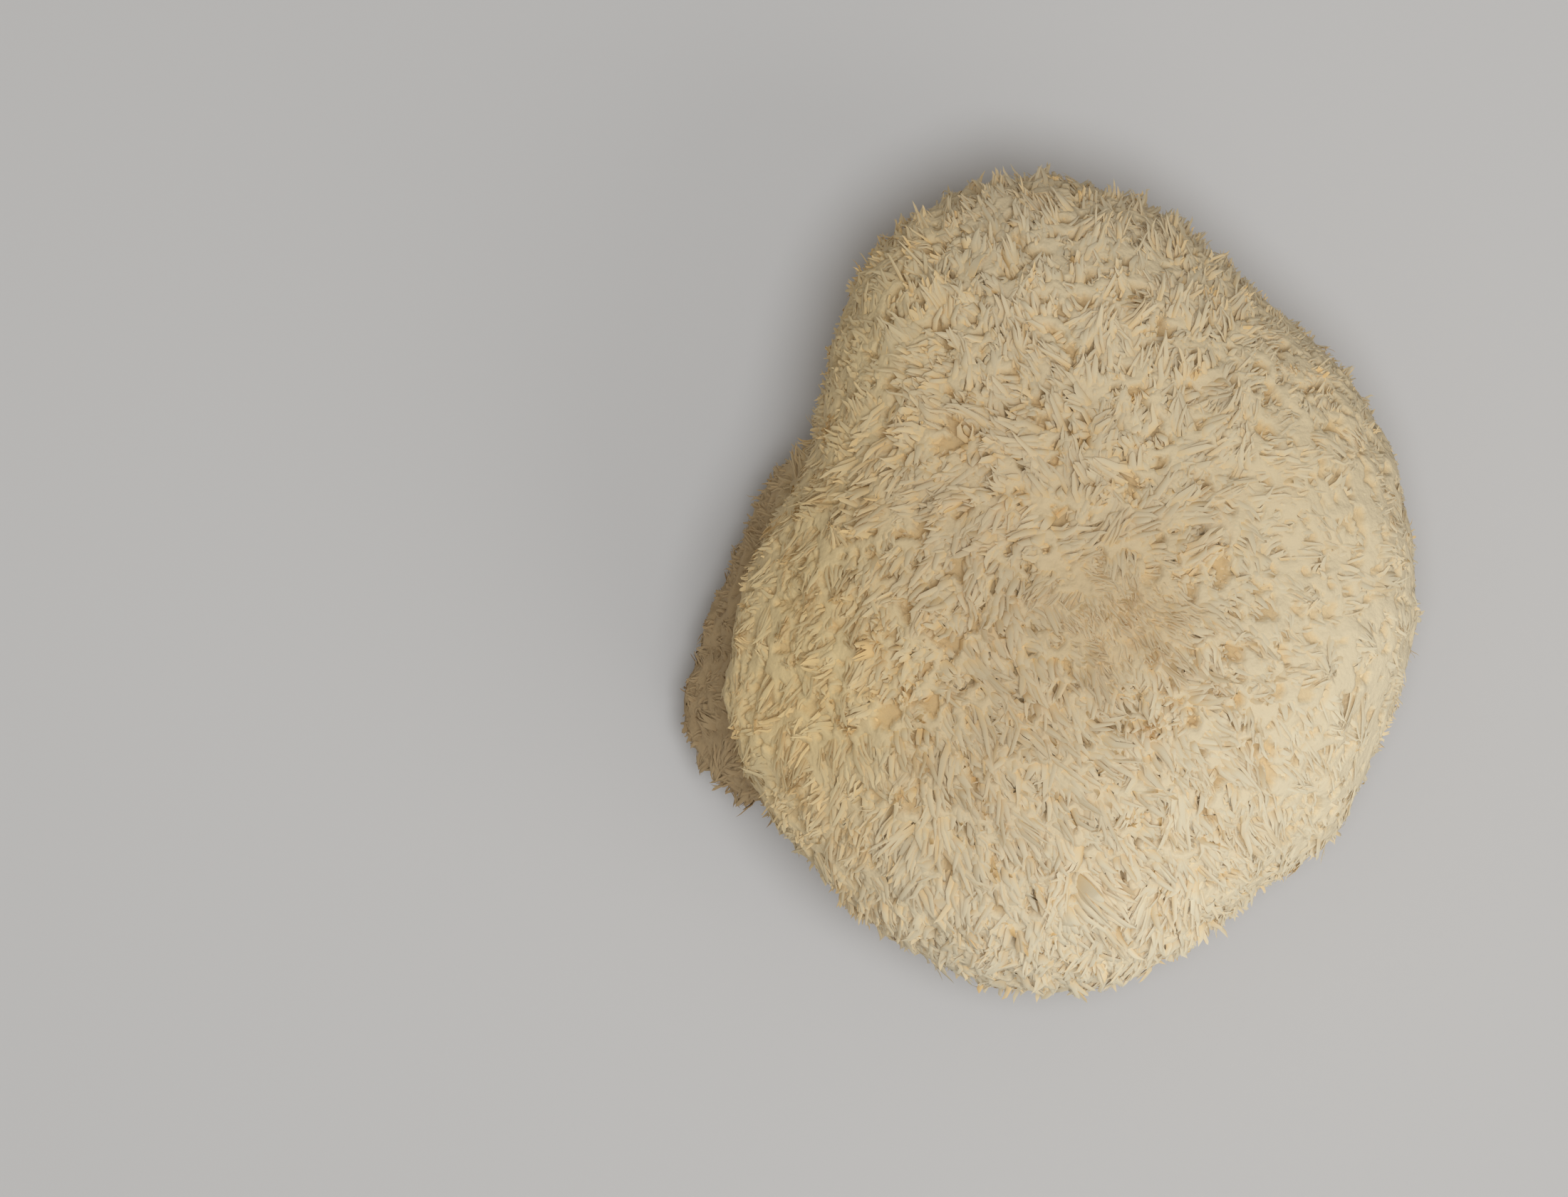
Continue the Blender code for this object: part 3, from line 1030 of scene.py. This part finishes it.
def grain_group():
    """The fine grain of the flesh: how rough it is, and the height of its bumps."""
    inputs = [("Scale", "NodeSocketFloat")]
    outputs = [("Roughness", "NodeSocketFloat"), ("Height", "NodeSocketFloat")]
    tree, w, given, result = start_group("flesh_grain", inputs, outputs)
    coord = w.add("ShaderNodeTexCoord").outputs["Object"]
    grain = w.get("ShaderNodeTexNoise", coord, given["Scale"], 3.0)
    w.feed(result["Roughness"], ranged(w, grain, 0.3, 0.7, 0.6, 0.85))
    w.feed(result["Height"], grain)
    return tree


def add_grain(w, shader, grain, scale, strength, height):
    """Grain on a material, with its bumps so many metres high."""
    outputs = placed_group(w, grain, scale)
    w.feed(shader.inputs["Roughness"], outputs["Roughness"])
    bump = w.add("ShaderNodeBump")
    bump.inputs["Strength"].default_value = strength
    bump.inputs["Distance"].default_value = height
    w.feed(bump.inputs["Height"], outputs["Height"])
    w.feed(shader.inputs["Normal"], bump.outputs[0])


def mane_material(tones, grain):
    """Teeth: their sides and roots get painted shade, so their faces and tips are paler."""
    material, w, shader = new_material("mane_ivory")
    shader.inputs["Specular IOR Level"].default_value = FLESH_SPECULAR
    own = w.add("ShaderNodeNewGeometry").outputs["Normal"]
    # Sides that face away from the outside, and the roots, get painted shade.
    facing = w.vector("DOT_PRODUCT", own, kept(w, "outward", "Vector"))
    facing = ranged(w, facing, 0.3, 0.95, 0.0, 1.0)
    along = ranged(w, kept(w, "along"), 0.0, 0.5, 0.35, 1.0)
    colour = placed_group(w, tones, w.times(along, facing))[0]
    tint_scale = ranged(w, kept(w, "tint"), 0.0, 1.0, 0.92, 1.06)
    tint_scale = w.get("ShaderNodeCombineXYZ", tint_scale, tint_scale, tint_scale)
    w.feed(shader.inputs["Base Color"], mixed(w, 1.0, colour, tint_scale, "MULTIPLY"))
    add_grain(w, shader, grain, 2600.0, 0.2, 0.05 * MM)
    return material


def skin_material(tones, grain):
    """Flesh: painted shade darkens the pits, and the bare belly and the cut have their own tones.
    """
    material, w, shader = new_material("skin_cream")
    shader.inputs["Specular IOR Level"].default_value = FLESH_SPECULAR
    coord = w.add("ShaderNodeTexCoord").outputs["Object"]
    blotch = w.get("ShaderNodeTexNoise", coord, 160.0, 4.0)
    bare = mixed(w, ranged(w, blotch, 0.35, 0.65, 0.0, 1.0), BARE_DULL, BARE_CREAM)
    furrow = ranged(w, kept(w, "folds"), -0.30, 0.05, 0.8, 0.0)
    bare = mixed(w, furrow, bare, FURROW_BROWN)
    # Painted shade in the pits, deeper towards their bottoms.
    height = ranged(w, kept(w, "pits"), 0.0, 0.8, 0.85, 0.3)
    between_teeth = placed_group(w, tones, height)[0]
    pit_shade = ranged(w, kept(w, "pits"), 0.3, 1.0, 0.0, 0.6)
    between_teeth = mixed(w, pit_shade, between_teeth, PIT_SHADE_BROWN)
    colour = mixed(w, kept(w, "toothed"), bare, between_teeth)
    colour = mixed(w, kept(w, "cut"), colour, CUT_CREAM)
    w.feed(shader.inputs["Base Color"], colour)
    add_grain(w, shader, grain, 1500.0, 0.5, 0.4 * MM)
    return material


def floor_material():
    material, _, shader = new_material("floor_pale")
    shader.inputs["Base Color"].default_value = FLOOR_GREY
    shader.inputs["Roughness"].default_value = 0.7
    return material


def build_floor():
    signs = ((-1, -1), (1, -1), (1, 1), (-1, 1))
    corners = [(x * FLOOR_HALF, y * FLOOR_HALF, -FLOOR_GAP) for x, y in signs]
    mesh = bpy.data.meshes.new("floor")
    mesh.from_pydata(corners, [], [(0, 1, 2, 3)])
    mesh.materials.append(floor_material())
    add_piece("floor", mesh)


def add_area_light(name, place, size, power, colour):
    light = bpy.data.lights.new(name, "AREA")
    light.shape = "DISK"
    light.size = size
    light.energy = power
    light.color = colour
    lamp = bpy.data.objects.new(name, light)
    lamp.location = place
    aim = Vector(LIGHT_AIM) - Vector(place)
    lamp.rotation_euler = aim.to_track_quat("-Z", "Y").to_euler()
    bpy.context.scene.collection.objects.link(lamp)


def build_lights():
    for row in LIGHTS:
        add_area_light(*row)
    world = bpy.data.worlds.new("studio")
    world.use_nodes = True
    background = world.node_tree.nodes["Background"]
    background.inputs["Color"].default_value = SKY_COLOUR
    background.inputs["Strength"].default_value = SKY_STRENGTH
    bpy.context.scene.world = world
    view = bpy.context.scene.view_settings
    view.view_transform = "Standard"
    view.gamma = VIEW_GAMMA
    view.exposure = VIEW_EXPOSURE


def build_camera():
    camera = bpy.data.cameras.new("camera")
    camera.sensor_width = CAMERA_SENSOR
    camera.lens = CAMERA_LENS
    camera.clip_start = 0.01
    holder = bpy.data.objects.new("camera", camera)
    holder.location = CAMERA_PLACE
    bpy.context.scene.collection.objects.link(holder)
    bpy.context.scene.camera = holder


def main():
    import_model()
    build_camera()
    build_floor()
    build_lights()
    tones = tone_group()
    grain = grain_group()
    build_mushroom(skin_material(tones, grain), mane_material(tones, grain))


main()
